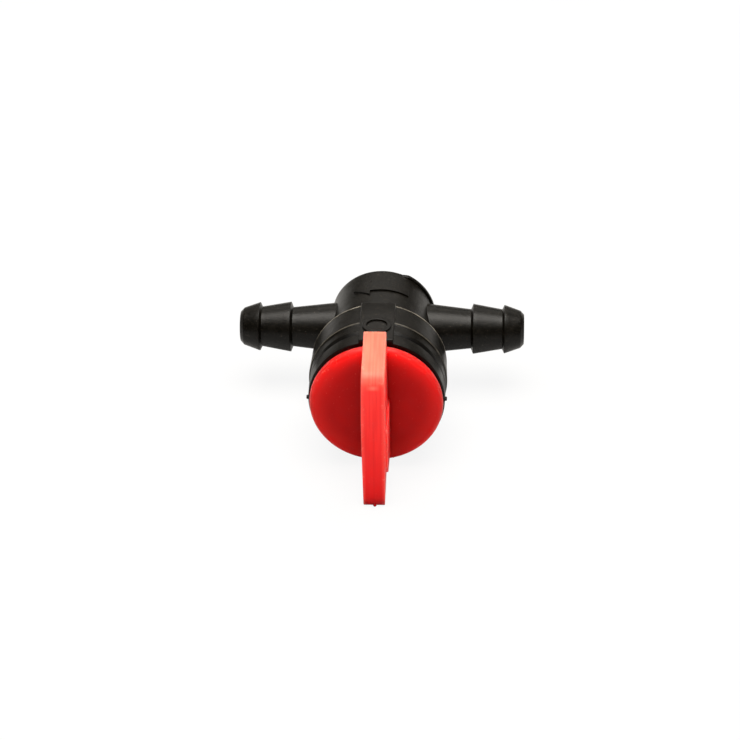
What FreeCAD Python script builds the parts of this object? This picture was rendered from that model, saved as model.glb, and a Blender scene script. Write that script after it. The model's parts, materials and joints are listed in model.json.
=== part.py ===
import FreeCAD, Part
import math
import os
import re
import Sketcher

# Inline quarter-turn shut-off valve for small hose, in millimetres.
# Each piece is built in the valve's own frame: X runs along the two hose
# barbs, Z runs along the turning axis towards the knob, and Y points up.
# The last section leans the assembly into the attitude in which it lies.

doc = FreeCAD.newDocument("ShutOffValve")

# ---------------------------------------------------------------- dimensions
# Places are distances from the crossing of the barb axis and turning axis, and
# setbacks are measured back from the collar's front.

DIMENSIONS = {
    # barrel and collar of the body
    "barrel_radius": 7.9,
    "barrel_rear": 4.1,
    "collar_start": 9.9,
    "collar_radius": 10.25,
    "crest_setback": 5.4,
    "crest_rise": 0.13,
    "collar_front": 20.4,
    "rim_drop": 0.15,
    "score_setback": 2.6,
    "score_width": 0.5,
    "score_slope": 0.8,
    "score_depth": 0.3,
    "edge_break": 0.3,
    "rear_break": 0.4,
    # raised pads, ring and flow arrow
    "pad_width": 5.1,
    "pad_rise": 0.2,
    "boss_setback": 4.4,
    "boss_outer": 2.2,
    "boss_inner": 1.5,
    "boss_rise": 0.27,
    "arrow_length": 8.4,
    "arrow_head": 2.5,
    "arrow_span": 4.4,
    "arrow_shaft": 2.3,
    "arrow_place": 0.9,
    "arrow_rise": 0.25,
    "lug_start": 25.0,
    "lug_sweep": 70.0,
    "lug_length": 1.5,
    "lug_rise": 0.45,
    # hose barbs
    "barb_reach": 22.0,
    "nose_length": 3.03,
    "tip_ring_radius": 3.78,
    "barb_pitch": 4.82,
    "inner_ring_radius": 3.89,
    "valley_radius": 3.09,
    "neck_radius": 3.05,
    "root_radius": 3.85,
    "root_depth": 0.9,
    "nose_radius": 2.8,
    "nose_break": 0.5,
    "waterway_radius": 1.7,
    "mouth_radius": 1.9,
    "mouth_length": 12.0,
    # plug, its bore and the collar's cavity
    "plug_radius": 4.95,
    "plug_end": 3.1,
    "running_gap": 0.05,
    "free_gap": 0.3,
    "cavity_floor": 10.8,
    "collar_wall": 1.55,
    "stop_sweep": 60.0,
    "stop_length": 2.4,
    "stop_width": 1.6,
    "stop_slack": 0.5,
    "quarter_turn": 90.0,
    # washer, retaining ring and seals
    "washer_thickness": 0.5,
    "washer_width": 1.2,
    "ring_setback": 4.0,
    "ring_thickness": 0.8,
    "ring_bite": 0.45,
    "ring_hold": 0.8,
    "ring_opening": 24.0,
    "o_ring_section": 1.34,
    "o_ring_slack": 0.2,
    "o_ring_flat": 0.6,
    "inner_o_ring_place": 4.9,
    "outer_o_ring_place": 7.7,
    "seal_inner": 2.0,
    "seal_outer": 2.75,
    "seal_floor": 3.5,
    "seat_gap": 0.03,
    # knob
    "disc_inset": 0.35,
    "disc_gap": 0.6,
    "disc_thickness": 1.2,
    "disc_round": 1.0,
    "fin_thickness": 3.5,
    "fin_root": 0.3,
    "fin_top": 13.05,
    "fin_brow": 10.4,
    "fin_brow_rise": 8.75,
    "fin_tip_drop": 11.65,
    "fin_tip_rise": 9.1,
    "heel_inset": 1.2,
    "fin_crown": 160.0,
    "fin_bend": 2.3,
    "fin_tip_round": 0.8,
    "fin_edge_break": 0.25,
    "land_start": 1.4,
    "land_rise": 0.3,
    "land_inset": 0.8,
}

dims = doc.addObject("Spreadsheet::Sheet", "dims")
for row, (alias, number) in enumerate(DIMENSIONS.items(), start=1):
    dims.set(f"A{row}", alias)
    dims.set(f"B{row}", str(number))
    dims.setAlias(f"B{row}", alias)
doc.recompute()


def linked(formula):
    """Point each dimension named in a formula at its cell in the sheet."""
    word = re.compile(r"[a-z_]+")
    return word.sub(lambda found: "dims." * (found.group() in DIMENSIONS) + found.group(), formula)


def value(formula):
    """Present value of a formula of named dimensions."""
    return float(dims.evalExpression(linked(formula)))


def bind(item, prop, formula):
    item.setExpression(prop, linked(formula))


# ------------------------------------------------------------------ sketches

def blank_sketch(body, label, plane, turn=None):
    """Empty sketch on an origin plane, turned about its upright if asked."""
    sketch = body.newObject("Sketcher::SketchObject", label)
    datum = next(item for item in body.Origin.OriginFeatures if item.Role == plane)
    sketch.AttachmentSupport = [(datum, "")]
    sketch.MapMode = "FlatFace"
    if turn:
        upright = FreeCAD.Rotation(FreeCAD.Vector(0, 1, 0), value(turn))
        sketch.AttachmentOffset = FreeCAD.Placement(FreeCAD.Vector(), upright)
        bind(sketch, "AttachmentOffset.Rotation.Angle", turn)
    return sketch


def place_point(sketch, line, point, across, along):
    """Hold one end of a line at two formulas, measured from the origin."""
    for kind, axis, formula in (("DistanceX", -2, across), ("DistanceY", -1, along)):
        if formula == "0":
            sketch.addConstraint(Sketcher.Constraint("PointOnObject", line, point, axis))
            continue
        held = Sketcher.Constraint(kind, -1, 1, line, point, value(formula))
        number = sketch.addConstraint(held)
        bind(sketch, f"Constraints[{number}]", formula)


def outline(body, label, plane, corners, turn=None, crown=None):
    """Closed outline through corners; crown is (side number, radius) of a bowed side."""
    sketch = blank_sketch(body, label, plane, turn)
    spots = [FreeCAD.Vector(value(across), value(along), 0) for across, along in corners]
    for side, start in enumerate(spots):
        stop = spots[(side + 1) % len(spots)]
        if crown and crown[0] == side:
            sketch.addGeometry(bow(start, stop, value(crown[1])))
        else:
            sketch.addGeometry(Part.LineSegment(start, stop))
    first = 1
    for side, (across, along) in enumerate(corners):
        follower = (side + 1) % len(corners)
        joined = Sketcher.Constraint("Coincident", side, 2, follower, first)
        sketch.addConstraint(joined)
        place_point(sketch, side, first, across, along)
    if crown:
        number = sketch.addConstraint(Sketcher.Constraint("Radius", crown[0], value(crown[1])))
        bind(sketch, f"Constraints[{number}]", crown[1])
    return sketch


def bow(start, stop, radius):
    """Arc of a given radius that turns left on its way from start to stop."""
    chord = stop - start
    middle = (start + stop) * 0.5
    inward = FreeCAD.Vector(-chord.y, chord.x, 0).normalize()
    centre = middle + inward * math.sqrt(radius ** 2 - chord.Length ** 2 / 4)
    from_centre = [math.atan2(spot.y - centre.y, spot.x - centre.x) for spot in (start, stop)]
    circle = Part.Circle(centre, FreeCAD.Vector(0, 0, 1), radius)
    return Part.ArcOfCircle(circle, from_centre[0], from_centre[1])


def rings(body, label, plane, centre, radii, offset=None):
    """Concentric circles about a centre, in a plane lifted by offset if given."""
    sketch = blank_sketch(body, label, plane)
    if offset:
        sketch.AttachmentOffset = FreeCAD.Placement(
            FreeCAD.Vector(0, 0, value(offset)), FreeCAD.Rotation())
        bind(sketch, "AttachmentOffset.Base.z", offset)
    for number, radius in enumerate(radii):
        spot = FreeCAD.Vector(value(centre[0]), value(centre[1]), 0)
        sketch.addGeometry(Part.Circle(spot, FreeCAD.Vector(0, 0, 1), value(radius)))
        place_point(sketch, number, 3, *centre)
        held = sketch.addConstraint(Sketcher.Constraint("Radius", number, value(radius)))
        bind(sketch, f"Constraints[{held}]", radius)
    return sketch


# ------------------------------------------------------------------ features

def new_body(label):
    body = doc.addObject("PartDesign::Body", label)
    body.Label = label
    return body


def revolved(body, label, sketch, axis="V_Axis", sweep=None, cut=False):
    """Turn a sketch about one of its axes, adding material or cutting it."""
    kind = "PartDesign::Groove" if cut else "PartDesign::Revolution"
    feature = body.newObject(kind, label)
    feature.Profile = sketch
    feature.ReferenceAxis = (sketch, [axis])
    feature.Angle = 360
    if sweep:
        bind(feature, "Angle", sweep)
    return feature


def padded(body, label, sketch, length, symmetric=False, backward=False, cut=False):
    """Push a sketch through a length, adding material or cutting it."""
    kind = "PartDesign::Pocket" if cut else "PartDesign::Pad"
    feature = body.newObject(kind, label)
    feature.Profile = sketch
    feature.Type = "Length"
    bind(feature, "Length", length)
    feature.SideType = "Symmetric" if symmetric else "One side"
    feature.Reversed = backward
    return feature


def mirrored(body, label, feature):
    """Repeat a feature on the other side of the turning axis."""
    twin = body.newObject("PartDesign::Mirrored", label)
    twin.Originals = [feature]
    plane = next(item for item in body.Origin.OriginFeatures if item.Role == "YZ_Plane")
    twin.MirrorPlane = (plane, [""])
    body.Tip = twin
    return twin


def dressed(body, label, kind, chosen, size_prop, size_formula):
    """Fillet or chamfer the edges of the body's tip that pass a test."""
    doc.recompute()
    base = body.Tip
    names = [f"Edge{number}" for number, edge in enumerate(base.Shape.Edges, start=1) if chosen(edge)]
    if not names:
        raise RuntimeError(f"{label} finds no edges")
    feature = body.newObject(f"PartDesign::{kind}", label)
    feature.Base = (base, names)
    bind(feature, size_prop, size_formula)
    return feature


def near(first, second):
    return abs(first - second) < 0.01


def circle_at(radius, place):
    """Test for the edges of one circle about the turning axis."""
    def chosen(edge):
        curve = edge.Curve
        if not isinstance(curve, Part.Circle):
            return False
        upright = near(abs(curve.Axis.z), 1)
        return upright and near(curve.Radius, value(radius)) and near(curve.Center.z, value(place))
    return chosen


# ---------------------------------------------------------------- valve body
# One black moulding: a barrel that holds the plug, a wider collar round the
# knob's hub, and two hose barbs that cross the barrel.

PLUG_BORE = "(plug_radius + running_gap)"
RIM_RADIUS = "(collar_radius - rim_drop)"
CAVITY_RADIUS = "(collar_radius - collar_wall)"
PAD_HEIGHT = "(collar_radius + pad_rise)"
SCORE_PLACE = "(collar_front - score_setback)"
RING_PLACE = "(collar_front - ring_setback)"
TIP_RING = "(barb_reach - nose_length)"
INNER_RING = "(barb_reach - nose_length - barb_pitch)"
RING_GROOVE = "(ring_thickness / 2 + seat_gap)"

body = new_body("valve_body")
form = outline(body, "barrel_and_collar_outline", "XZ_Plane", [
    ("0", "-barrel_rear"),
    ("barrel_radius", "-barrel_rear"),
    ("barrel_radius", "collar_start"),
    ("collar_radius", "collar_start"),
    ("collar_radius + crest_rise", "collar_front - crest_setback"),
    (RIM_RADIUS, "collar_front"),
    ("0", "collar_front"),
])
revolved(body, "barrel_and_collar", form)
dressed(body, "barrel_rear_break", "Chamfer", circle_at("barrel_radius", "-barrel_rear"),
        "Size", "rear_break")
dressed(body, "collar_rear_break", "Fillet", circle_at("collar_radius", "collar_start"),
        "Radius", "edge_break")

score = outline(body, "score_outline", "XZ_Plane", [
    (f"{RIM_RADIUS} - score_depth", f"{SCORE_PLACE} - score_width / 2"),
    ("collar_radius + crest_rise", f"{SCORE_PLACE} - score_width / 2 - score_slope"),
    ("collar_radius + 1", f"{SCORE_PLACE} - score_width / 2 - score_slope"),
    ("collar_radius + 1", f"{SCORE_PLACE} + score_width / 2"),
    (f"{RIM_RADIUS} - score_depth", f"{SCORE_PLACE} + score_width / 2"),
])
revolved(body, "score", score, cut=True)

# Flat pads above and below the collar, the upper one with a raised ring.
pads = outline(body, "pads_outline", "XZ_Plane", [
    ("-pad_width / 2", "collar_start"),
    ("pad_width / 2", "collar_start"),
    ("pad_width / 2", "collar_front"),
    ("-pad_width / 2", "collar_front"),
])
padded(body, "pads", pads, f"2 * {PAD_HEIGHT}", symmetric=True)
boss = rings(body, "boss_circles", "XZ_Plane", ("0", "collar_front - boss_setback"),
             ["boss_outer", "boss_inner"])
padded(body, "boss", boss, f"{PAD_HEIGHT} + boss_rise", backward=True)

# Flow arrow on the barrel, pointing along -X and shaved to follow the round.
arrow = outline(body, "arrow_outline", "XZ_Plane", [
    ("-arrow_length / 2", "arrow_place"),
    ("arrow_head - arrow_length / 2", "arrow_place - arrow_span / 2"),
    ("arrow_head - arrow_length / 2", "arrow_place - arrow_shaft / 2"),
    ("arrow_length / 2", "arrow_place - arrow_shaft / 2"),
    ("arrow_length / 2", "arrow_place + arrow_shaft / 2"),
    ("arrow_head - arrow_length / 2", "arrow_place + arrow_shaft / 2"),
    ("arrow_head - arrow_length / 2", "arrow_place + arrow_span / 2"),
])
padded(body, "arrow", arrow, "barrel_radius + 2 * arrow_rise", backward=True)
shave = outline(body, "arrow_shave_outline", "XZ_Plane", [
    ("barrel_radius + arrow_rise", "-barrel_rear"),
    ("barrel_radius + arrow_length", "-barrel_rear"),
    ("barrel_radius + arrow_length", "collar_start"),
    ("barrel_radius + arrow_rise", "collar_start"),
])
revolved(body, "arrow_shave", shave, cut=True)

# Raised lug on a sector of the barrel's rear edge.
lug = outline(body, "rear_lug_outline", "XZ_Plane", [
    ("barrel_radius - lug_rise", "rear_break - barrel_rear"),
    ("barrel_radius + lug_rise", "rear_break - barrel_rear"),
    ("barrel_radius + lug_rise", "lug_length - barrel_rear"),
    ("barrel_radius - lug_rise", "lug_length - barrel_rear"),
], turn="90 - lug_start - lug_sweep")
revolved(body, "rear_lug", lug, sweep="lug_sweep")

# A hose barb: a waisted neck, two saw-tooth rings and a blunted nose.
barb = outline(body, "barb_outline", "XZ_Plane", [
    ("0", "0"),
    ("barb_reach", "0"),
    ("barb_reach", "nose_radius"),
    (TIP_RING, "tip_ring_radius"),
    (TIP_RING, "valley_radius"),
    (INNER_RING, "inner_ring_radius"),
    (INNER_RING, "neck_radius"),
    ("barrel_radius - root_depth", "root_radius"),
    ("0", "root_radius"),
])
right_barb = revolved(body, "right_barb", barb, axis="H_Axis")
mirrored(body, "left_barb", right_barb)


def nose_edge(edge):
    """The blunted end of either barb."""
    curve = edge.Curve
    if not isinstance(curve, Part.Circle):
        return False
    return near(abs(curve.Center.x), value("barb_reach")) and near(curve.Radius, value("nose_radius"))


dressed(body, "nose_breaks", "Chamfer", nose_edge, "Size", "nose_break")

# Plug bore, collar cavity and the groove for the retaining ring.
cavity = outline(body, "cavity_outline", "XZ_Plane", [
    ("0", "-plug_end - running_gap"),
    (PLUG_BORE, "-plug_end - running_gap"),
    (PLUG_BORE, "cavity_floor"),
    (CAVITY_RADIUS, "cavity_floor"),
    (CAVITY_RADIUS, f"{RING_PLACE} - {RING_GROOVE}"),
    (f"{CAVITY_RADIUS} + ring_bite", f"{RING_PLACE} - {RING_GROOVE}"),
    (f"{CAVITY_RADIUS} + ring_bite", f"{RING_PLACE} + {RING_GROOVE}"),
    (CAVITY_RADIUS, f"{RING_PLACE} + {RING_GROOVE}"),
    (CAVITY_RADIUS, "collar_front"),
    ("0", "collar_front"),
])
revolved(body, "cavity", cavity, cut=True)

# Block on the cavity floor, which the knob's window runs up against.
stop = outline(body, "stop_block_outline", "XZ_Plane", [
    (f"{CAVITY_RADIUS} - stop_width", "cavity_floor - edge_break"),
    (f"{CAVITY_RADIUS} + edge_break", "cavity_floor - edge_break"),
    (f"{CAVITY_RADIUS} + edge_break", "cavity_floor + stop_length"),
    (f"{CAVITY_RADIUS} - stop_width", "cavity_floor + stop_length"),
], turn="270 - stop_sweep / 2")
revolved(body, "stop_block", stop, sweep="stop_sweep")

# The waterway, wider from each barb's mouth to a shoulder in the neck.
channel = rings(body, "waterway_circle", "YZ_Plane", ("0", "0"), ["waterway_radius"])
padded(body, "waterway", channel, "2 * barb_reach", symmetric=True, cut=True)
mouth = rings(body, "mouth_circle", "YZ_Plane", ("0", "0"), ["mouth_radius"], offset="barb_reach")
right_mouth = padded(body, "right_mouth", mouth, "mouth_length", cut=True)
mirrored(body, "left_mouth", right_mouth)


# ---------------------------------------------------------------------- knob
# One red moulding: a disc with an upright fin, a hub that turns in the collar
# and a plug with a cross port.

HUB_RADIUS = f"({CAVITY_RADIUS} - free_gap)"
HUB_START = "(cavity_floor + washer_thickness + running_gap)"
DISC_BACK = "(collar_front + disc_gap)"
DISC_FRONT = "(collar_front + disc_gap + disc_thickness)"
DISC_RADIUS = "(collar_radius - disc_inset)"
FIN_BACK = f"({DISC_FRONT} - fin_root)"
FIN_BROW = f"({DISC_FRONT} + fin_brow_rise)"
FIN_TIP = f"({DISC_FRONT} + fin_tip_rise)"
FIN_HEEL = f"({DISC_RADIUS} - heel_inset)"
O_RING_REACH = "(plug_radius + running_gap - seat_gap)"
O_RING_FLOOR = "(plug_radius + running_gap - 2 * seat_gap - o_ring_section)"


def rounded_rim(radius, place, size):
    """Corners that round an outer rim off in three flats."""
    turns = range(0, 91, 30)
    return [(f"{radius} - {size} * (1 - cos({turn}))", f"{place} - {size} * (1 - sin({turn}))")
            for turn in turns]


# The profile is turned so that its seam stays clear of the ports.
knob = new_body("turn_knob")
form = outline(knob, "knob_outline", "XZ_Plane", [
    ("0", "-plug_end"),
    ("plug_radius", "-plug_end"),
    ("plug_radius", HUB_START),
    (HUB_RADIUS, HUB_START),
    (HUB_RADIUS, DISC_BACK),
    (DISC_RADIUS, DISC_BACK),
    *rounded_rim(DISC_RADIUS, DISC_FRONT, "disc_round"),
    ("0", DISC_FRONT),
], turn="quarter_turn / 2")
revolved(knob, "knob_form", form)


def turned_groove(label, inner, outer, low, high, turn=None, sweep=None):
    """Cut a groove of the knob between two radii and two stations."""
    sketch = outline(knob, f"{label}_outline", "XZ_Plane", [
        (inner, low),
        (outer, low),
        (outer, high),
        (inner, high),
    ], turn=turn)
    revolved(knob, label, sketch, sweep=sweep, cut=True)


for label, place in (("inner", "inner_o_ring_place"), ("outer", "outer_o_ring_place")):
    turned_groove(f"{label}_o_ring_groove", O_RING_FLOOR, "plug_radius + 1",
                  f"{place} - o_ring_section / 2 - o_ring_slack",
                  f"{place} + o_ring_section / 2 + o_ring_slack")
turned_groove("retaining_groove", f"{HUB_RADIUS} - ring_hold", f"{HUB_RADIUS} + 1",
              f"{RING_PLACE} - ring_thickness / 2 - running_gap",
              f"{RING_PLACE} + ring_thickness / 2 + running_gap")
turned_groove("stop_window", f"{CAVITY_RADIUS} - stop_width - free_gap", f"{HUB_RADIUS} + 1",
              f"{HUB_START} - 1", "cavity_floor + stop_length + free_gap",
              turn="270 - stop_sweep / 2 - quarter_turn - stop_slack",
              sweep="stop_sweep + quarter_turn + 2 * stop_slack")

port = rings(knob, "port_circle", "XZ_Plane", ("0", "0"), ["waterway_radius"])
padded(knob, "port", port, "3 * plug_radius", symmetric=True, cut=True)
seat = rings(knob, "seal_seat_circles", "YZ_Plane", ("0", "0"),
             ["seal_outer + seat_gap", "seal_inner - seat_gap"], offset="seal_floor")
right_seat = padded(knob, "right_seal_seat", seat, "plug_radius", backward=True, cut=True)
mirrored(knob, "left_seal_seat", right_seat)

# The fin: a sloping brow above, a bowed front, and a foot that it stands on.
fin = outline(knob, "fin_outline", "YZ_Plane", [
    ("fin_top", FIN_BACK),
    ("fin_brow", FIN_BROW),
    ("-fin_tip_drop", FIN_TIP),
    (f"-{FIN_HEEL}", FIN_BACK),
], crown=(1, "fin_crown"))
padded(knob, "fin", fin, "fin_thickness", symmetric=True)


def fin_corner(height, reach):
    """Test for the edge across the fin's thickness at one corner."""
    def chosen(edge):
        middle = edge.CenterOfMass
        return near(middle.x, 0) and near(middle.y, value(height)) and near(middle.z, value(reach))
    return chosen


def fin_rim(edge):
    """Test for the edges that run round the fin's two flanks, clear of the disc."""
    box = edge.BoundBox
    on_flank = all(near(abs(x), value("fin_thickness / 2")) for x in (box.XMin, box.XMax))
    return on_flank and edge.CenterOfMass.z > value(DISC_FRONT) + value("fin_edge_break")


dressed(knob, "brow_bend", "Fillet", fin_corner("fin_brow", FIN_BROW), "Radius", "fin_bend")
dressed(knob, "tip_round", "Fillet", fin_corner("-fin_tip_drop", FIN_TIP),
        "Radius", "fin_tip_round")
dressed(knob, "fin_edge_breaks", "Chamfer", fin_rim, "Size", "fin_edge_break")

land = outline(knob, "fin_land_outline", "YZ_Plane", [
    ("land_start", FIN_BACK),
    ("land_start", f"{FIN_TIP} - land_inset"),
    ("2 * land_inset - fin_tip_drop", f"{FIN_TIP} - land_inset"),
    (f"land_inset - {FIN_HEEL}", FIN_BACK),
])
padded(knob, "fin_land", land, "fin_thickness / 2 + land_rise")


# ------------------------------------------------------- washer, ring, seals

washer = new_body("thrust_washer")
face = outline(washer, "washer_outline", "XZ_Plane", [
    ("plug_radius + free_gap", "cavity_floor"),
    ("plug_radius + free_gap + washer_width", "cavity_floor"),
    ("plug_radius + free_gap + washer_width", "cavity_floor + washer_thickness"),
    ("plug_radius + free_gap", "cavity_floor + washer_thickness"),
])
revolved(washer, "washer", face)

# Split ring, sprung into the body's groove and reaching into the knob's.
retainer = new_body("retaining_ring")
face = outline(retainer, "retaining_ring_outline", "XZ_Plane", [
    (f"{HUB_RADIUS} - ring_hold + free_gap", f"{RING_PLACE} - ring_thickness / 2"),
    (f"{CAVITY_RADIUS} + ring_bite - seat_gap", f"{RING_PLACE} - ring_thickness / 2"),
    (f"{CAVITY_RADIUS} + ring_bite - seat_gap", f"{RING_PLACE} + ring_thickness / 2"),
    (f"{HUB_RADIUS} - ring_hold + free_gap", f"{RING_PLACE} + ring_thickness / 2"),
], turn="90 + ring_opening / 2")
revolved(retainer, "split_ring", face, sweep="360 - ring_opening")


# O-rings as they sit squeezed, with flats where the rubber meets the plastic.
for side in ("inner", "outer"):
    o_ring = new_body(f"stem_o_ring_{side}")
    middle = f"({O_RING_REACH} - o_ring_section / 2)"
    place = f"{side}_o_ring_place"
    section = outline(o_ring, f"{side}_o_ring_section", "XZ_Plane", [
        (f"{middle} - o_ring_section / 2", f"{place} - o_ring_flat / 2"),
        (f"{middle} - o_ring_flat / 2", f"{place} - o_ring_section / 2"),
        (f"{middle} + o_ring_flat / 2", f"{place} - o_ring_section / 2"),
        (f"{middle} + o_ring_section / 2", f"{place} - o_ring_flat / 2"),
        (f"{middle} + o_ring_section / 2", f"{place} + o_ring_flat / 2"),
        (f"{middle} + o_ring_flat / 2", f"{place} + o_ring_section / 2"),
        (f"{middle} - o_ring_flat / 2", f"{place} + o_ring_section / 2"),
        (f"{middle} - o_ring_section / 2", f"{place} + o_ring_flat / 2"),
    ])
    revolved(o_ring, f"{side}_o_ring", section)

# Face seals on the plug's flanks, with outer faces that follow the plug bore.
for side, sign in (("right", ""), ("left", "-")):
    seal = new_body(f"port_seal_{side}")
    circles = rings(seal, f"{side}_seal_circles", "YZ_Plane", ("0", "0"),
                    ["seal_outer", "seal_inner"], offset=f"{sign}(seal_floor + seat_gap)")
    padded(seal, f"{side}_seal_blank", circles, "plug_radius - seal_floor + 1",
           backward=side == "left")
    trim = outline(seal, f"{side}_seal_trim_outline", "XZ_Plane", [
        (O_RING_REACH, "-seal_outer - 1"),
        ("plug_radius + 3", "-seal_outer - 1"),
        ("plug_radius + 3", "seal_outer + 1"),
        (O_RING_REACH, "seal_outer + 1"),
    ])
    revolved(seal, f"{side}_seal_trim", trim, cut=True)


# ------------------------------------------------------------------ checking

def check(pieces):
    """Stop on a failed object, a bad shape or a cut that removes nothing."""
    for item in doc.Objects:
        if {"Invalid", "Error"} & set(item.State):
            raise RuntimeError(f"{item.Name} is {item.State}")
    for piece in pieces:
        if piece.Shape.isNull() or not piece.Shape.isValid() or len(piece.Shape.Solids) != 1:
            raise RuntimeError(f"{piece.Label} is not one sound solid")
        for feature in piece.Group:
            if feature.TypeId in ("PartDesign::Groove", "PartDesign::Pocket"):
                if feature.Shape.Volume > feature.BaseFeature.Shape.Volume - 0.01:
                    raise RuntimeError(f"{feature.Name} cuts nothing")


# ------------------------------------------------------------------- resting
# The valve lies on the rear edge of its lower pad and on the foot of its fin.
# The origin is at the middle of the foot of the whole valve's box.

def leaning(lean):
    """Turn the knob to the front, -Y, and raise it by the lean in degrees."""
    return FreeCAD.Placement(FreeCAD.Vector(), FreeCAD.Rotation(FreeCAD.Vector(1, 0, 0), 90 - lean))


def box_of(shape, placement):
    moved = shape.copy()
    moved.Placement = placement.multiply(shape.Placement)
    return moved.optimalBoundingBox(False)


doc.recompute()
pieces = [item for item in doc.Objects if item.TypeId == "PartDesign::Body"]
check(pieces)

lean = 0.0
for step in range(6):
    body_foot = box_of(body.Shape, leaning(lean)).ZMin
    knob_foot = box_of(knob.Shape, leaning(lean)).ZMin
    reach = value(f"{FIN_TIP} - collar_start")
    lean += math.degrees(math.atan2(body_foot - knob_foot, reach))

whole = Part.makeCompound([piece.Shape for piece in pieces])
box = box_of(whole, leaning(lean))
rest = leaning(lean)
rest.Base = FreeCAD.Vector(-box.Center.x, -box.Center.y, -box.ZMin)
for piece in pieces:
    piece.Placement = rest
doc.recompute()
check(pieces)

os.makedirs("parts", exist_ok=True)
for piece in pieces:
    piece.Shape.exportStep(f"parts/{piece.Label}.step")
    print(piece.Label, round(piece.Shape.Volume, 2))
print("lean", round(lean, 4), "rest", rest.Base, "box", box)
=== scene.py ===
import json
import math

import bmesh
import bpy
from mathutils import Matrix, Vector


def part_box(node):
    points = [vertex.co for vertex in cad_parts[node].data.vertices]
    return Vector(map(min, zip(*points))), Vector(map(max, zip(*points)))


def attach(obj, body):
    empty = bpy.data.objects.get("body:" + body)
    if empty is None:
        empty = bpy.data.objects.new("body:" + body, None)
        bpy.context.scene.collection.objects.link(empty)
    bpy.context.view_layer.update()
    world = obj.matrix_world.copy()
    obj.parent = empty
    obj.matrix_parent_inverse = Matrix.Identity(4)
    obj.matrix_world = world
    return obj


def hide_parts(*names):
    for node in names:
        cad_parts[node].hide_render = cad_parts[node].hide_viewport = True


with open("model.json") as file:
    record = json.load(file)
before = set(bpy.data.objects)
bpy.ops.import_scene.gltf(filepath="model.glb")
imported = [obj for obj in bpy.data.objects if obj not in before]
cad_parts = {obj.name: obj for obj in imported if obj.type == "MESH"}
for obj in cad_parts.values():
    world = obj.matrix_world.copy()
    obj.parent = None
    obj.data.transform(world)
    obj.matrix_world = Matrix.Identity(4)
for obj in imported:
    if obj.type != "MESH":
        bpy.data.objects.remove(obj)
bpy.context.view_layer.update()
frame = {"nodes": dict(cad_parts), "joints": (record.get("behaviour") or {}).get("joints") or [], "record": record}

# ------------------------------------------------------------ valve body: form
# One moulding in black acetal: a barrel for the plug, a wider collar, and an
# arrow, pads and a lug raised on them. Lathed and straight forms are joined by
# booleans, in millimetres: x along the barbs, z along the turning axis, y up.

hinge = frame["joints"][0]
crossing = Vector(hinge["pos_m"])
turning = Vector(hinge["axis"]).normalized()
across = Vector((1, 0, 0))
upright = turning.cross(across)
stand = (Matrix.Translation(crossing)
         @ Matrix((across, upright, turning)).transposed().to_4x4()
         @ Matrix.Scale(0.001, 4))


def softened(corners, closed=True, steps=5):
    """Points of an outline whose (across, along, round) corners become arcs."""
    points = []
    for number, (x, y, size) in enumerate(corners):
        here = Vector((x, y))
        end = not closed and number in (0, len(corners) - 1)
        if size == 0 or end:
            points.append(here)
            continue
        before = (Vector(corners[number - 1][:2]) - here).normalized()
        after = (Vector(corners[(number + 1) % len(corners)][:2]) - here).normalized()
        half = before.angle(after) / 2
        centre = here + (before + after).normalized() * size / math.sin(half)
        start = (here + before * size / math.tan(half) - centre).normalized()
        stop = (here + after * size / math.tan(half) - centre).normalized()
        points += [centre + start.slerp(stop, step / steps) * size for step in range(steps + 1)]
    return points


def divided(points, stride):
    """The same run of points, with none further apart than a stride."""
    run = [points[0]]
    for start, stop in zip(points, points[1:]):
        count = max(1, math.ceil((stop - start).length / stride))
        run += [start.lerp(stop, step / count) for step in range(1, count + 1)]
    return run


def piece_of(name, shell):
    """Object for a finished bmesh, linked to the scene."""
    bmesh.ops.remove_doubles(shell, verts=shell.verts, dist=1e-5)
    bmesh.ops.recalc_face_normals(shell, faces=shell.faces)
    shape = bpy.data.meshes.new(name)
    shell.to_mesh(shape)
    shell.free()
    piece = bpy.data.objects.new(name, shape)
    bpy.context.scene.collection.objects.link(piece)
    return piece


def turned(name, profile, facets, start=0.0, sweep=360.0):
    """Solid of revolution about z; a part turn is closed by two flat ends."""
    shell = bmesh.new()
    whole = sweep == 360.0
    open_ended = whole and profile[0][0] == 0
    count = facets if whole else facets + 1
    rings = []
    for number in range(count):
        angle = math.radians(start + sweep * number / facets)
        rings.append([shell.verts.new((radius * math.cos(angle), radius * math.sin(angle), along))
                      for radius, along in profile])
    for number in range(facets):
        here, there = rings[number], rings[(number + 1) % count]
        for low in range(len(profile) - open_ended):
            high = (low + 1) % len(profile)
            shell.faces.new((here[low], here[high], there[high], there[low]))
    if not whole:
        shell.faces.new(rings[0])
        shell.faces.new(rings[-1])
    return piece_of(name, shell)


def edged(piece, width, segments=3, angle=40):
    """Round those edges of a piece that turn by more than an angle."""
    rounding = piece.modifiers.new("edges", "BEVEL")
    rounding.width = width
    rounding.segments = segments
    rounding.limit_method = "ANGLE"
    rounding.angle_limit = math.radians(angle)
    return settled(piece)


def prism(name, outline, low, high, plane, edge):
    """Straight prism with softened edges; plane turns (across, along, height) into x, y, z."""
    shell = bmesh.new()
    ends = [[shell.verts.new(plane(spot[0], spot[1], height)) for spot in outline]
            for height in (low, high)]
    shell.faces.new(ends[0])
    shell.faces.new(ends[1])
    for number in range(len(outline)):
        after = (number + 1) % len(outline)
        shell.faces.new((ends[0][number], ends[0][after], ends[1][after], ends[1][number]))
    return edged(piece_of(name, shell), edge)


def settled(piece):
    """Give a piece the mesh that its modifiers make, and drop them."""
    graph = bpy.context.evaluated_depsgraph_get()
    shape = bpy.data.meshes.new_from_object(piece.evaluated_get(graph))
    piece.modifiers.clear()
    piece.data = shape
    return piece


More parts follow.
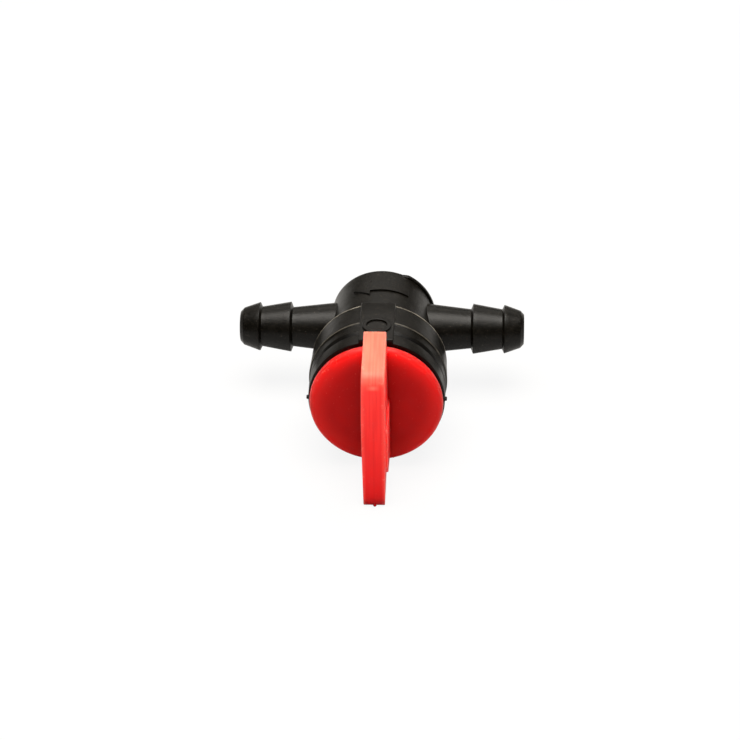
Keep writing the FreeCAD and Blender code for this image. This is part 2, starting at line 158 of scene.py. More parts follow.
def carved(base, others, operation):
    """Add others to a base or cut them from it, one boolean at a time."""
    for other in others:
        modifier = base.modifiers.new(operation.lower(), "BOOLEAN")
        modifier.operation = operation
        modifier.solver = "MANIFOLD"
        modifier.object = other
        settled(base)
        bpy.data.objects.remove(other)
    return base


def stood(piece, material, body, stands_for):
    """Put a finished piece in its place on the valve, smooth between its creases."""
    piece.data.materials.clear()
    piece.data.materials.append(material)
    piece.data.transform(stand)
    piece.data.shade_smooth()
    piece.data.set_sharp_from_angle(angle=math.radians(32))
    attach(piece, body)
    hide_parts(stands_for)


def seen_from_above(across_, along, height):
    """Places an outline drawn on the x and z axes at a height on y."""
    return (across_, height, along)


barrel_radius, barrel_rear = 7.9, -4.1
collar_start, collar_front, collar_radius = 9.9, 20.4, 10.25
crest_station, crest_radius = 15.0, 10.38
score_station, score_radius, rim_radius = 17.75, 9.85, 10.12
plug_bore, bore_floor = 5.0, -3.15
cavity_radius, cavity_floor = 8.7, 10.8
groove_station, groove_radius, groove_half = 16.4, 9.15, 0.43
shoulder_length, shoulder_fall = 0.55, 0.03
crest_length, crest_fall = 0.28, 0.22
ramp_length, ramp_fall = 0.95, 0.26
score_rear, score_front, lip_front, lip_rise = 0.25, 0.20, 0.28, 0.06

moulding_profile = divided(softened([
    (0, barrel_rear, 0),
    (barrel_radius, barrel_rear, 0.22),
    (barrel_radius, collar_start, 0.15),
    (collar_radius, collar_start, 0.16),
    (collar_radius - shoulder_fall, collar_start + shoulder_length, 0.3),
    (crest_radius, crest_station, 0.10),
    (crest_radius - crest_fall, crest_station + crest_length, 0.10),
    (crest_radius - ramp_fall, score_station - ramp_length, 0.4),
    (score_radius, score_station - score_rear, 0.2),
    (score_radius, score_station + score_front, 0.08),
    (rim_radius + lip_rise, score_station + lip_front, 0.07),
    (rim_radius, collar_front, 0.15),
    (cavity_radius, collar_front, 0.15),
    (cavity_radius, groove_station + groove_half, 0),
    (groove_radius, groove_station + groove_half, 0),
    (groove_radius, groove_station - groove_half, 0),
    (cavity_radius, groove_station - groove_half, 0),
    (cavity_radius, cavity_floor, 0.1),
    (plug_bore, cavity_floor, 0.1),
    (plug_bore, bore_floor, 0.1),
    (0, bore_floor, 0),
], closed=False), 0.9)
valve_body = turned("valve_body_moulding", moulding_profile, 256)

pad_half, pad_height, pad_root, pad_edge = 2.55, 10.45, 9.0, 0.12
pad_outline = [(-pad_half, collar_start), (pad_half, collar_start),
               (pad_half, collar_front), (-pad_half, collar_front)]
pads = [prism("pad", pad_outline, side * pad_root, side * pad_height, seen_from_above, pad_edge)
        for side in (1, -1)]

ring_station, ring_outer, ring_inner, ring_top, ring_root = 16.55, 2.15, 1.5, 10.70, 10.05
ring_profile = softened([
    (ring_inner, ring_root, 0),
    (ring_outer, ring_root, 0),
    (ring_outer, ring_top, 0.08),
    (ring_inner, ring_top, 0.08),
], steps=3)
raised_ring = turned("raised_ring", ring_profile, 96)
raised_ring.data.transform(Matrix.Translation((0, 0, ring_station)) @ Matrix.Rotation(-math.pi / 2, 4, "X"))

arrow_tip, arrow_tail, arrow_neck = -4.2, 4.2, -1.7
arrow_station, arrow_span, arrow_shaft = 0.9, 2.2, 1.15
arrow_rise, arrow_sunk, arrow_strip = 0.25, 0.4, 0.35
arrow_outline = divided([Vector(spot) for spot in (
    (arrow_tip, arrow_station),
    (arrow_neck, arrow_station - arrow_span),
    (arrow_neck, arrow_station - arrow_shaft),
    (arrow_tail, arrow_station - arrow_shaft),
    (arrow_tail, arrow_station + arrow_shaft),
    (arrow_neck, arrow_station + arrow_shaft),
    (arrow_neck, arrow_station + arrow_span),
    (arrow_tip, arrow_station),
)], arrow_strip)[:-1]


def wrapped(name, outline, low, high, strip):
    """Slab on an outline, cut into strips so that its faces follow the barrel's round."""
    shell = bmesh.new()
    shell.faces.new([shell.verts.new((spot[0], 0, spot[1])) for spot in outline])
    strips = round(max(spot[0] for spot in outline) / strip)
    for number in range(-strips, strips + 1):
        whole = shell.verts[:] + shell.edges[:] + shell.faces[:]
        bmesh.ops.bisect_plane(shell, geom=whole, plane_co=(number * strip, 0, 0), plane_no=(1, 0, 0))
    raised = bmesh.ops.extrude_face_region(shell, geom=shell.faces[:])["geom"]
    top = {item for item in raised if isinstance(item, bmesh.types.BMVert)}
    for vert in shell.verts:
        radius = high if vert in top else low
        vert.co.y = math.sqrt(radius ** 2 - vert.co.x ** 2)
    return piece_of(name, shell)


arrow = wrapped("arrow", arrow_outline, barrel_radius - arrow_sunk, barrel_radius + arrow_rise, arrow_strip)

lug_start, lug_sweep, lug_taper = -5.0, 72.0, 7.0
lug_rise, lug_sunk, lug_setback, lug_length, lug_round = 0.34, 0.5, 0.05, 0.75, 0.15
lug_profile = softened([
    (barrel_radius - lug_sunk, barrel_rear + lug_setback, 0),
    (barrel_radius + lug_rise, barrel_rear + lug_setback, lug_round),
    (barrel_radius + lug_rise, barrel_rear + lug_length, lug_round),
    (barrel_radius - lug_sunk, barrel_rear + lug_length, 0),
], steps=3)
lug = turned("lug", lug_profile, 48, start=lug_start, sweep=lug_sweep)
taper_start, taper_share = lug_start + lug_sweep - lug_taper, 0.95
for vert in lug.data.vertices:
    turn = math.degrees(math.atan2(vert.co.y, vert.co.x))
    run_out = max(0, (turn - taper_start) / lug_taper)
    vert.co.xy = vert.co.xy * (1 - taper_share * run_out * lug_rise / barrel_radius)

nub_outline = [(10.0, 19.5), (10.42, 19.6), (10.42, 20.15), (10.0, 20.25)]
nub_half, nub_edge = 0.22, 0.1
nubs = [prism("parting_nub", [(side * out, along) for out, along in nub_outline],
              -nub_half, nub_half, seen_from_above, nub_edge)
        for side in (1, -1)]

stop_profile = [(7.1, 10.5), (9.0, 10.5), (9.0, 13.2), (7.1, 13.2)]
stop_block = turned("stop_block", stop_profile, 30, start=240, sweep=60)

# ----------------------------------------------------------- valve body: barbs
# Two hose barbs of the same black acetal, lathed once and set at each side by a
# node tree. Each has a neck that flares into the barrel, two saw-tooth rings
# that bite into a soft hose, a chamfered nose and a stepped waterway.

barb_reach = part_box("valve_body")[1].x * 1000
nose_length, barb_pitch = 3.03, 4.82
tip_ring, inner_ring = barb_reach - nose_length, barb_reach - nose_length - barb_pitch
tip_ring_radius, inner_ring_radius, valley_radius, neck_radius = 3.78, 3.89, 3.09, 3.05
root_radius, root_end, rear_slope = 4.0, 5.6, 0.33
nose_shoulder, nose_face, nose_chamfer = 2.9, 2.3, 0.55
port = next(mount for mount in frame["record"]["mounts"] if mount["name"] == "right_port")
mouth_radius, mouth_depth = port["dims"]["r_mm"], port["dims"]["length_mm"]
waterway_radius, waterway_start = 1.7, 4.0

barb_profile = divided(softened([
    (0, root_end, 0),
    (root_radius, root_end, 0),
    (neck_radius, inner_ring - rear_slope, 0.10),
    (inner_ring_radius, inner_ring, 0.07),
    (valley_radius, tip_ring - rear_slope, 0.10),
    (tip_ring_radius, tip_ring, 0.07),
    (nose_shoulder, barb_reach - nose_chamfer, 0.35),
    (nose_face, barb_reach, 0.15),
    (0, barb_reach, 0),
], closed=False, steps=4), 0.7)
bore_profile = [Vector(spot) for spot in (
    (0, waterway_start), (waterway_radius, waterway_start), (waterway_radius, barb_reach - mouth_depth),
    (mouth_radius, barb_reach - mouth_depth), (mouth_radius, barb_reach + 1), (0, barb_reach + 1))]
barb = turned("barb", barb_profile, 128)
bore = turned("bore", bore_profile, 64)


def step_in(tree, kind, settings=(), sockets=()):
    """Add a step to a geometry tree: its settings, then values or links for its sockets."""
    made = tree.nodes.new(kind)
    for key, setting in dict(settings).items():
        setattr(made, key, setting)
    for key, given in dict(sockets).items():
        if isinstance(given, bpy.types.NodeSocket):
            tree.links.new(given, made.inputs[key])
        else:
            made.inputs[key].default_value = given
    return made


def tree_with(name, inputs):
    """Geometry tree that takes a mesh and named inputs and gives a mesh."""
    tree = bpy.data.node_groups.new(name, "GeometryNodeTree")
    tree.interface.new_socket("Geometry", in_out="INPUT", socket_type="NodeSocketGeometry")
    for label, kind in inputs.items():
        tree.interface.new_socket(label, in_out="INPUT", socket_type=kind)
    tree.interface.new_socket("Geometry", in_out="OUTPUT", socket_type="NodeSocketGeometry")
    return tree, tree.nodes.new("NodeGroupInput"), tree.nodes.new("NodeGroupOutput")


def grown(piece, tree, **inputs):
    """Run a geometry tree on a piece with its inputs set, and keep the mesh."""
    modifier = piece.modifiers.new(tree.name, "NODES")
    modifier.node_group = tree
    for item in tree.interface.items_tree:
        if item.in_out == "INPUT" and item.name in inputs:
            modifier[item.identifier] = inputs[item.name]
    return settled(piece)


pair_tree, given, result = tree_with("one_at_each_side", {
    "Turn": "NodeSocketFloat", "Finish": "NodeSocketMaterial"})
spots = step_in(pair_tree, "GeometryNodeMeshLine", {}, {"Count": 2, "Offset": (0, 0, 0)})
which = step_in(pair_tree, "GeometryNodeInputIndex")
side = step_in(pair_tree, "ShaderNodeMath", {"operation": "MULTIPLY_ADD"},
               {0: which.outputs["Index"], 1: -2.0, 2: 1.0})
angle = step_in(pair_tree, "ShaderNodeMath", {"operation": "MULTIPLY"},
                {0: side.outputs[0], 1: given.outputs["Turn"]})
facing = step_in(pair_tree, "ShaderNodeCombineXYZ", {}, {"Y": angle.outputs[0]})
spread = step_in(pair_tree, "GeometryNodeInstanceOnPoints", {}, {
    "Points": spots.outputs["Mesh"], "Instance": given.outputs["Geometry"], "Rotation": facing.outputs[0]})
real = step_in(pair_tree, "GeometryNodeRealizeInstances", {}, {"Geometry": spread.outputs[0]})
dressed = step_in(pair_tree, "GeometryNodeSetMaterial", {}, {
    "Geometry": real.outputs[0], "Material": given.outputs["Finish"]})
pair_tree.links.new(dressed.outputs[0], result.inputs["Geometry"])

# -------------------------------------------------------- valve body: material
# Black acetal with a satin skin: fine moulded grain, faint flow marks, turning
# marks of the mould along the barbs and a little dust. Painted onto it: pale
# highlight lines along the collar's rear edge and crest, broken up like rubbed
# wear, and shade darkening the score ahead of the crest.


class Wire:
    """An output socket in a material; sums and products of wires add Math nodes."""

    def __init__(self, finish, socket):
        self.finish = finish
        self.socket = socket

    def maths(self, operation, *others):
        """Math node fed by this wire and any others, in that order."""
        sockets = dict(enumerate((self, *others)))
        return self.finish.node("Math", {"operation": operation}, sockets)

    def __add__(self, other):
        return self.maths("ADD", other)

    __radd__ = __add__

    def __sub__(self, other):
        return self.maths("SUBTRACT", other)

    def __rsub__(self, other):
        return (self * -1) + other

    def __mul__(self, other):
        return self.maths("MULTIPLY", other)

    __rmul__ = __mul__


class Finish:
    """A material in the making, with one method that adds any node to it."""

    def __init__(self, name):
        self.material = bpy.data.materials.new(name)
        self.material.use_nodes = True
        self.tree = self.material.node_tree
        self.tree.nodes.clear()

    def node(self, kind, settings=(), sockets=(), output=0):
        """Add a node: its type, its settings, then values or wires for its sockets."""
        made = self.tree.nodes.new("ShaderNode" + kind)
        for key, setting in dict(settings).items():
            setattr(made, key, setting)
        for key, value in dict(sockets).items():
            if isinstance(value, Wire):
                self.tree.links.new(value.socket, made.inputs[key])
            else:
                made.inputs[key].default_value = value
        return Wire(self, made.outputs[output])

    def places(self, stretch=(1000, 1000, 1000)):
        """Object coordinates in millimetres, stretched if asked."""
        spot = self.node("TexCoord", output="Object")
        return self.node("Mapping", {}, {"Vector": spot, "Scale": stretch})

    def noise(self, scale, detail=3.0, rough=0.5, stretch=(1000, 1000, 1000)):
        """Noise whose scale counts its cells in a millimetre."""
        return self.node("TexNoise", {}, {
            "Vector": self.places(stretch), "Scale": scale, "Detail": detail, "Roughness": rough})

    def along(self, direction):
        """Distance from the crossing point along a direction, in millimetres."""
        reach = self.node("VectorMath", {"operation": "DOT_PRODUCT"},
                          {0: self.places(), 1: direction}, output=1)
        return reach - direction.dot(crossing) * 1000

    def near_to(self, wire, value, half, fade):
        """One where a wire is within half of a value, fading to nought past it."""
        off = (wire - value).maths("ABSOLUTE")
        return self.between(off, half, half + fade, 1.0, 0.0)

    def from_axis(self):
        """Distance from the turning axis in millimetres."""
        aside, aloft = self.along(across), self.along(upright)
        return (aside * aside + aloft * aloft).maths("SQRT")

    def between(self, wire, low, high, out_low=0.0, out_high=1.0):
        """Wire mapped from one range to another, held inside the second."""
        return self.node("MapRange", {"clamp": True}, {
            "Value": wire, "From Min": low, "From Max": high, "To Min": out_low, "To Max": out_high})

    def mixed(self, share, first, second):
        """Colour mix of two colours or wires."""
        return self.node("Mix", {"data_type": "RGBA"}, {0: share, 6: first, 7: second}, output=2)

    def surface(self, **sockets):
        """Principled surface whose sockets are named with underscores."""
        named = {key.replace("_", " "): value for key, value in sockets.items()}
        return self.shown(self.node("BsdfPrincipled", {}, named))

    def shown(self, shader):
        """Link a shader to the material's output and give the material."""
        output = self.tree.nodes.new("ShaderNodeOutputMaterial")
        self.tree.links.new(shader.socket, output.inputs["Surface"])
        return self.material


black = Finish("black_acetal")
mottle = black.between(black.noise(0.6, detail=5, rough=0.6), 0.35, 0.7)
grain = black.noise(4.2, detail=4, rough=0.7)
scuffs = black.between(black.noise(2.2, detail=6, rough=0.65, stretch=(300, 1400, 900)), 0.60, 0.74)
specks = black.between(black.noise(5.5, detail=1), 0.74, 0.80)
turning_marks = black.noise(3.0, detail=3, stretch=(3000, 60, 60))
deep_black, soft_black = (0.0010, 0.0008, 0.0004, 1), (0.0024, 0.0019, 0.0012, 1)
grained, scuffed, shaded = (0.017, 0.0140, 0.0100, 1), (0.060, 0.052, 0.042, 1), (0.0006, 0.0005, 0.0004, 1)
# The first pale is for the painted edge highlights, the second for dust.
highlight_and_rub_pale, dusty = (0.20, 0.18, 0.145, 1), (0.22, 0.19, 0.15, 1)
colour = black.mixed(mottle, deep_black, soft_black)
station, outward = black.along(turning), black.from_axis()
skirt = (black.between(outward, collar_radius - 0.25, collar_radius - 0.12)
         * black.between(outward, pad_height - 0.06, pad_height - 0.02, 1.0, 0.0))
# Painted highlight: pale lines along the collar's rear edge and its crest, where the edges catch the light; noise
# breaks them up like rubbed wear.
painted_edge_highlights = (black.near_to(station, collar_start + 0.14, 0.10, 0.10)
              + black.near_to(station, crest_station + 0.05, 0.02, 0.06) * 0.40) * skirt
edge_highlight_and_wear = painted_edge_highlights * black.between(black.noise(0.9, detail=3), 0.25, 0.55)
# Painted shade: the score just ahead of the crest, below the pads' height, is darkened almost to black.
painted_score_shade = (black.near_to(station, score_station - 0.25, 0.30, 0.45)
          * black.between(outward, collar_radius - 0.6, collar_radius - 0.4)
          * black.between(outward, pad_height - 0.10, pad_height - 0.05, 1.0, 0.0))
colour = black.mixed(scuffs * 0.25, colour, scuffed)
colour = black.mixed(black.between(grain, 0.50, 0.72) * 0.45, colour, grained)
colour = black.mixed(painted_score_shade * 0.85, colour, shaded)
# Painted highlight: the collar's edge lines are mixed towards pale.
colour = black.mixed(edge_highlight_and_wear * 0.85, colour, highlight_and_rub_pale)
colour = black.mixed(specks * 0.4, colour, dusty)
ripple = black.noise(0.35, detail=2)
height = grain * 2.2 + ripple * 6.0 + turning_marks * 0.6 + scuffs * 0.4
relief_depth = 0.00002
relief = black.node("Bump", {}, {"Height": height, "Strength": 0.5, "Distance": relief_depth})
black_acetal = black.surface(
    Base_Color=colour,
    Roughness=black.between(mottle + scuffs * 0.4, 0.0, 1.4, 0.33, 0.43),
    Specular_IOR_Level=0.135,
    Normal=relief,
)

barbs = grown(barb, pair_tree, Turn=math.pi / 2, Finish=black_acetal)
bores = grown(bore, pair_tree, Turn=math.pi / 2, Finish=black_acetal)
carved(valve_body, [barbs, *pads, raised_ring, arrow, lug, *nubs, stop_block], "UNION")
carved(valve_body, [bores], "DIFFERENCE")
stood(valve_body, black_acetal, "housing", "valve_body")

# ------------------------------------------------------------------------ knob
# One moulding in red acetal: a disc with a rounded rim, an upright fin to turn
# it by, a hub in the collar and a plug with a cross port. The fin thins from
# its middle to both ends, and its right flank carries a raised land.

disc_back, disc_front, disc_radius = 21.0, 22.2, 9.9
disc_crown, disc_draft = 0.06, 0.02
hub_radius, hub_start, hub_groove, hub_groove_half = 8.4, 11.35, 7.6, 0.45
plug_radius, plug_end = 4.95, -3.1
o_ring_stations, o_ring_floor, o_ring_half = (4.9, 7.7), 3.60, 0.87

knob_profile = divided(softened([
    (0, plug_end, 0),
    (plug_radius, plug_end, 0.3),
    *[corner for middle in o_ring_stations for corner in (
        (plug_radius, middle - o_ring_half, 0),
        (o_ring_floor, middle - o_ring_half, 0),
        (o_ring_floor, middle + o_ring_half, 0),
        (plug_radius, middle + o_ring_half, 0))],
    (plug_radius, hub_start, 0),
    (hub_radius, hub_start, 0.2),
    (hub_radius, groove_station - hub_groove_half, 0),
    (hub_groove, groove_station - hub_groove_half, 0),
    (hub_groove, groove_station + hub_groove_half, 0),
    (hub_radius, groove_station + hub_groove_half, 0),
    (hub_radius, disc_back, 0.15),
    (disc_radius, disc_back, 0.2),
    (disc_radius - disc_draft, disc_front, 1.0),
    (0, disc_front + disc_crown, 0),
], closed=False, steps=8), 0.9)
knob = turned("knob_moulding", knob_profile, 256)

fin_back, fin_top, fin_brow, fin_brow_reach = 21.9, 12.80, 10.2, 30.95
fin_tip, fin_tip_reach, fin_heel = -11.65, 31.45, -8.7
fin_crown, fin_stride = 0.38, 0.9
fin_top_half, fin_middle_half, fin_tip_half = 1.64, 1.75, 1.575
top_taper, tip_taper_start, tip_taper = 9, 2, 13.65


def crowned(start, stop, rise, count):
    """Points along a side that bows out by a rise at its middle."""
    out = Vector(((stop - start).y, -(stop - start).x)).normalized()
    return [start.lerp(stop, step / count) + out * rise * 4 * step / count * (1 - step / count)
            for step in range(1, count)]


def fin_outline():
    """The fin seen from its flank, as (height, reach) points."""
    corners = [(fin_top, fin_back, 0), (fin_brow, fin_brow_reach, 2.3),
               (fin_tip, fin_tip_reach, 0.55), (fin_heel, fin_back, 0)]
    points = softened(corners, steps=10)
    to_brow, from_tip = points[:12], points[12:]
    return to_brow + crowned(to_brow[-1], from_tip[0], fin_crown, 16) + from_tip


def fin_half(height):
    """Half the fin's thickness at a height: thickest near its middle."""
    upper = fin_top_half + (fin_middle_half - fin_top_half) * min(1, (fin_top - height) / top_taper)
    thinned = (fin_middle_half - fin_tip_half) * max(0, (tip_taper_start - height) / tip_taper)
    return upper - thinned


shell = bmesh.new()
shell.faces.new([shell.verts.new((0, spot[0], spot[1])) for spot in fin_outline()])
cut = fin_tip + fin_stride
while cut < fin_top - fin_stride / 2:
    bmesh.ops.bisect_plane(shell, geom=shell.verts[:] + shell.edges[:] + shell.faces[:],
                           plane_co=(0, cut, 0), plane_no=(0, 1, 0))
    cut += fin_stride
far_side = bmesh.ops.extrude_face_region(shell, geom=shell.faces[:])["geom"]
for vert in shell.verts:
    vert.co.x = -fin_half(vert.co.y)
for item in far_side:
    if isinstance(item, bmesh.types.BMVert):
        item.co.x = fin_half(item.co.y)
fin = edged(piece_of("fin", shell), 0.4, segments=4, angle=50)


def seen_from_the_side(height_, reach, out):
    """Places an outline drawn on the y and z axes at a distance along x."""
    return (out, height_, reach)


land_top, land_foot, land_slant = 1.4, -5.0, 2.0
land_inset, land_root, land_rise, land_edge = 0.8, 1.0, 0.3, 0.12
land_outline = [(land_top, fin_back), (land_top, fin_tip_reach - land_inset),
                (land_foot, fin_tip_reach - land_inset),
                (land_foot - land_slant, fin_tip_reach - 3 * land_inset),
                (fin_heel + land_inset, fin_back)]
land = prism("land", land_outline, land_root, fin_middle_half + land_rise, seen_from_the_side, land_edge)

gate_radius, gate_rise, gate_sunk = 0.26, 0.20, 0.4
gate_turns = [math.radians(15 * number) for number in range(6)]
gate_profile = [Vector((0, -gate_sunk)), Vector((gate_radius, -gate_sunk)),
                *[Vector((gate_radius * math.cos(turn), gate_rise * math.sin(turn))) for turn in gate_turns],
                Vector((0, gate_rise))]
gate_nub = turned("gate_nub", gate_profile, 24)
gate_nub.data.transform(Matrix.Translation((0.1, fin_tip + 0.45, fin_tip_reach)))

plug_port = turned("plug_port", [Vector(spot) for spot in (
    (0, -6), (waterway_radius, -6), (waterway_radius, 6), (0, 6))], 64)
plug_port.data.transform(Matrix.Rotation(math.pi / 2, 4, "X"))
seat_inner, seat_outer, seat_floor = 1.97, 2.78, 3.5
seat = turned("seal_seat", [Vector(spot) for spot in (
    (seat_inner, seat_floor), (seat_outer, seat_floor), (seat_outer, 6), (seat_inner, 6))], 64)
window = turned("stop_window", [Vector(spot) for spot in (
    (6.8, 10), (10, 10), (10, 13.5), (6.8, 13.5))], 72, start=149.5, sweep=151)

# Red acetal with a cloudy tone, flow streaks, a parting line and nicks of its own; glow, shade and highlights are
# also painted into its colour, as noted below.
red = Finish("red_acetal")
cloud = red.between(red.noise(0.25, detail=4, rough=0.55), 0.3, 0.7)
fine = red.noise(10.0, detail=2)
swirl = red.noise(1.1, detail=4, rough=0.6, stretch=(1000, 500, 350))
nicks = red.between(red.noise(3.0, detail=5, rough=0.6, stretch=(1200, 500, 800)), 0.66, 0.74)
reach, level = red.along(turning), red.along(upright)
off_middle = red.along(across).maths("ABSOLUTE")
# Painted glow and shade: the disc's face is painted brighter towards its rim and darker towards its middle,
# standing in for light spreading through the plastic.
painted_rim_glow = red.between(red.from_axis(), 6.0, disc_radius)
past_disc = red.between(level, disc_radius - 0.2, disc_radius + 0.3)
# The fin's area, in front of the disc's face or above its rim.
fin_area = red.between(reach, disc_front + 0.3, disc_front + 2.5).maths("MAXIMUM", past_disc)
crown = red.between(level, disc_radius, disc_radius + 0.5)
ends = red.between(reach, fin_brow_reach - 1.0, fin_brow_reach - 0.4).maths("MAXIMUM", crown)
# Painted highlight: the fin's side edges along its front and top are painted paler.
fin_edge_highlight = ends * red.between(off_middle, 1.1, 1.6)
parting = fin_area * red.between(off_middle, 0.05, 0.16, 1.0, 0.0)
streaks = fin_area * red.between(red.noise(2.6, detail=3, stretch=(1000, 50, 50)), 0.40, 0.66)
# Painted highlight: a pale streak across the fin's front at the bend below its brow.
glint = fin_area * red.near_to(level, 8.8, 0.10, 0.35) * red.between(off_middle, 0.1, 1.0, 1.0, 0.0)
# Painted highlight: a band inside the disc's upper rim which, with the fin's edges, takes pale specks.
top_rim_highlight = red.near_to(red.from_axis(), disc_radius - 0.45, 0.10, 0.20) * red.between(level, 3, 8)
painted_highlight_specks = (fin_edge_highlight + top_rim_highlight) * red.between(red.noise(1.7, detail=5), 0.60, 0.70)
# Of these reds, the disc's pair and its rim red paint shade and glow, the fin's foot, body and top reds paint its
# glow, shading and highlight, and the border and chip reds paint highlights; the streak, seam and nick reds are
# the plastic's own.
dim_disc_red, dim_disc_cloud = (0.385, 0.0016, 0.0018, 1), (0.44, 0.0030, 0.0030, 1)
glowing_rim_red, streak_red, seam_red = (0.84, 0.0190, 0.0170, 1), (0.66, 0.010, 0.010, 1), (0.55, 0.008, 0.008, 1)
shaded_fin_foot_red, glowing_fin_red, painted_top_highlight_red = (0.72, 0.006, 0.008, 1), (1.0, 0.058, 0.054, 1), (1.0, 0.15, 0.10, 1)
edge_highlight_red, painted_highlight_red, nick_red = (1.0, 0.13, 0.11, 1), (1.0, 0.42, 0.30, 1), (0.90, 0.16, 0.14, 1)
# Painted glow and shade: the disc brightens towards its rim and stays dim in its middle.
colour = red.mixed(painted_rim_glow * painted_rim_glow, red.mixed(cloud, dim_disc_red, dim_disc_cloud), glowing_rim_red)
# Painted glow and shade: the fin is painted much brighter than the disc, as though lit through, and darker towards
# its foot.
fin_colour = red.mixed(red.between(level, -10, 8), shaded_fin_foot_red, glowing_fin_red)
# Painted highlight: the fin's top slope is painted pale pink-orange where it faces the overhead light.
fin_colour = red.mixed(red.between(level, 8.2, 10.6), fin_colour, painted_top_highlight_red)
fin_colour = red.mixed(streaks * 0.35, fin_colour, streak_red)
# Painted highlight: the fin's edges are mixed towards a paler red.
fin_colour = red.mixed(fin_edge_highlight * 0.5, fin_colour, edge_highlight_red)
fin_colour = red.mixed(parting * 0.14, fin_colour, seam_red)
# Painted glow: the fin's area takes the fin's bright colours.
colour = red.mixed(fin_area, colour, fin_colour)
# Painted highlight: pale specks on the fin's edges and the disc's upper rim, and the glint below the brow.
colour = red.mixed(painted_highlight_specks * 0.38 + glint * 0.35, colour, painted_highlight_red)
colour = red.mixed(nicks * 0.35, colour, nick_red)
relief = red.node("Bump", {}, {
    "Height": fine * 0.5 + swirl * 1.5 + nicks * 0.8, "Strength": 0.3, "Distance": relief_depth})
red_acetal = red.surface(
    Base_Color=colour,
    Roughness=red.between(swirl + nicks * 0.3, 0.2, 0.9, 0.26, 0.40),
    Specular_IOR_Level=0.08,
    Subsurface_Weight=1.0,
    Subsurface_Radius=(0.0090, 0.0004, 0.0004),
    Subsurface_Scale=1.0,
    Normal=relief,
)

seats = grown(seat, pair_tree, Turn=math.pi / 2, Finish=red_acetal)
carved(knob, [fin, land, gate_nub], "UNION")
carved(knob, [plug_port, seats, window], "DIFFERENCE")
stood(knob, red_acetal, "knob", "turn_knob")

# --------------------------------------------------------- washer, ring, seals
# Small parts inside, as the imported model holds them: a pale slip washer, a
# split ring of spring steel and four seals of black rubber.


def finished(names, material):
    """Give carried-over pieces their material."""
    for name in names:
        node = frame["nodes"][name]
        node.data.materials.clear()
        node.data.materials.append(material)


fine_relief = 0.00001
slip = Finish("washer_plastic")
veins = slip.between(slip.noise(1.5, detail=4), 0.3, 0.7)
slip_relief = slip.node("Bump", {}, {"Height": slip.noise(8.0), "Strength": 0.2, "Distance": fine_relief})
finished(["thrust_washer"], slip.surface(
    Base_Color=slip.mixed(veins, (0.74, 0.72, 0.66, 1), (0.82, 0.80, 0.75, 1)),
    Roughness=slip.between(veins, 0.0, 1.0, 0.34, 0.46),
    Normal=slip_relief,
))

spring = Finish("spring_steel")
drawn = spring.noise(4.0, detail=4, stretch=(1000, 200, 1000))
finished(["retaining_ring"], spring.surface(
    Base_Color=spring.mixed(spring.between(drawn, 0.3, 0.7), (0.50, 0.49, 0.47, 1), (0.64, 0.63, 0.61, 1)),
    Metallic=1.0,
    Roughness=spring.between(drawn, 0.3, 0.7, 0.24, 0.38),
    Normal=spring.node("Bump", {}, {"Height": drawn, "Strength": 0.25, "Distance": fine_relief}),
))

rubber = Finish("seal_rubber")
bloom = rubber.between(rubber.noise(1.8, detail=4), 0.35, 0.75)
finished(["stem_o_ring_inner", "stem_o_ring_outer", "port_seal_right", "port_seal_left"], rubber.surface(
    Base_Color=rubber.mixed(bloom, (0.014, 0.014, 0.014, 1), (0.032, 0.032, 0.031, 1)),
    Roughness=rubber.between(bloom, 0.0, 1.0, 0.50, 0.68),
    Normal=rubber.node("Bump", {}, {"Height": rubber.noise(7.0), "Strength": 0.3, "Distance": fine_relief}),
))

# --------------------------------------------------------------- floor, lights
# A white paper table top, a wide soft lamp overhead, a narrow one in front and
# a low one behind, all slightly warm, in a dim white surround.

floor_half = 1.5
floor_corners = ((-1, -1), (1, -1), (1, 1), (-1, 1))
shell = bmesh.new()
shell.faces.new([shell.verts.new((x * floor_half, y * floor_half, 0)) for x, y in floor_corners])
floor = piece_of("floor", shell)
paper = Finish("white_paper")
weave = paper.between(paper.noise(0.05, detail=3), 0.3, 0.7)
camera_ray, glossy_ray, passing_ray = [
    paper.node("LightPath", output="Is %s Ray" % kind) for kind in ("Camera", "Glossy", "Transmission")]
away = paper.node("VectorMath", {"operation": "LENGTH"}, {0: paper.places()}, output=1)
near = paper.between(away, 40, 240, 1, 0)
mirrored_share, white_share = 0.12, 0.89
lit = camera_ray + glossy_ray * near * mirrored_share + passing_ray
tone = paper.mixed(weave, (0.39, 0.39, 0.39, 1), (0.42, 0.42, 0.42, 1))
plain = paper.node("BsdfDiffuse", {}, {"Color": tone})
white = paper.node("Emission", {}, {"Color": (1, 1, 1, 1), "Strength": 1.0})
floor.data.materials.append(paper.shown(
    paper.node("MixShader", {}, {0: lit * white_share, 1: plain, 2: white})))

warm_white = (1.0, 0.96, 0.90)
lamp_reach, aimed_at = 0.8, Vector((0, 0, 0.01))


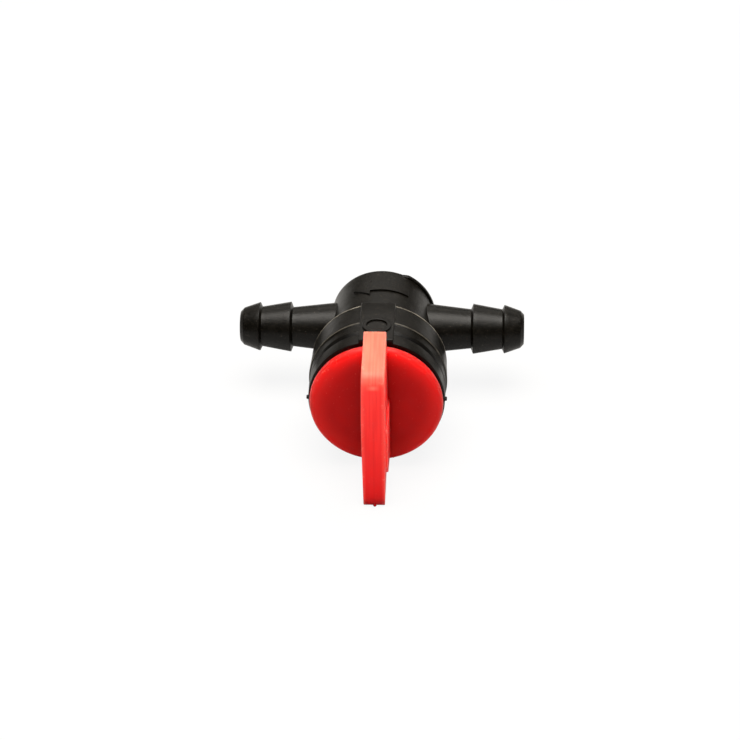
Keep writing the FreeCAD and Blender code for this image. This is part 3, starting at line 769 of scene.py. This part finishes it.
def soft_lamp(name, place, width, depth, power):
    """Rectangular soft lamp that faces the valve."""
    lamp = bpy.data.lights.new(name, "AREA")
    lamp.shape = "RECTANGLE"
    lamp.size = width
    lamp.size_y = depth
    lamp.energy = power
    lamp.color = warm_white
    holder = bpy.data.objects.new(name, lamp)
    holder.location = place
    holder.rotation_euler = (aimed_at - Vector(place)).to_track_quat("-Z", "Y").to_euler()
    bpy.context.scene.collection.objects.link(holder)


def on_the_dome(elevation, bearing):
    """Place on a dome over the valve: bearing 0 is behind it and 180 in front."""
    level_reach = math.cos(math.radians(elevation)) * lamp_reach
    return (level_reach * math.sin(math.radians(bearing)),
            level_reach * math.cos(math.radians(bearing)),
            math.sin(math.radians(elevation)) * lamp_reach)


soft_lamp("key_lamp", on_the_dome(87, 0), 0.80, 0.50, 19.0)
soft_lamp("front_lamp", on_the_dome(66, 180), 0.6, 0.24, 3.0)
soft_lamp("back_lamp", on_the_dome(36, 0), 0.9, 0.36, 1.8)

surround = bpy.data.worlds.new("surround")
surround.use_nodes = True
surround.node_tree.nodes["Background"].inputs["Color"].default_value = (1, 1, 1, 1)
surround.node_tree.nodes["Background"].inputs["Strength"].default_value = 0.01
bpy.context.scene.world = surround

# ---------------------------------------------------------------------- camera
# A long lens looks down on the valve from the knob's side, placed from the
# crossing of the barbs and the turning axis.

elevation, yaw, roll = math.radians(32.5365), math.radians(3.0962), math.radians(0.9186)
distance, aside, above = 0.350, 0.0018845, 0.0065841
sensor, lens = 36.0, 109.48
right = across * math.cos(yaw) - turning * math.sin(yaw)
lift = (upright * math.cos(elevation)
        - (across * math.sin(yaw) + turning * math.cos(yaw)) * math.sin(elevation))
back = (upright * math.sin(elevation)
        + (across * math.sin(yaw) + turning * math.cos(yaw)) * math.cos(elevation))
view_right = right * math.cos(roll) - lift * math.sin(roll)
view_up = right * math.sin(roll) + lift * math.cos(roll)
lens_data = bpy.data.cameras.new("camera")
lens_data.lens = lens
lens_data.sensor_width = sensor
lens_data.clip_start = 0.01
camera = bpy.data.objects.new("camera", lens_data)
camera.matrix_world = (Matrix.Translation(crossing + back * distance - view_right * aside - view_up * above)
                       @ Matrix((view_right, view_up, back)).transposed().to_4x4())
bpy.context.scene.collection.objects.link(camera)
bpy.context.scene.camera = camera

bpy.context.scene.view_settings.view_transform = "Standard"
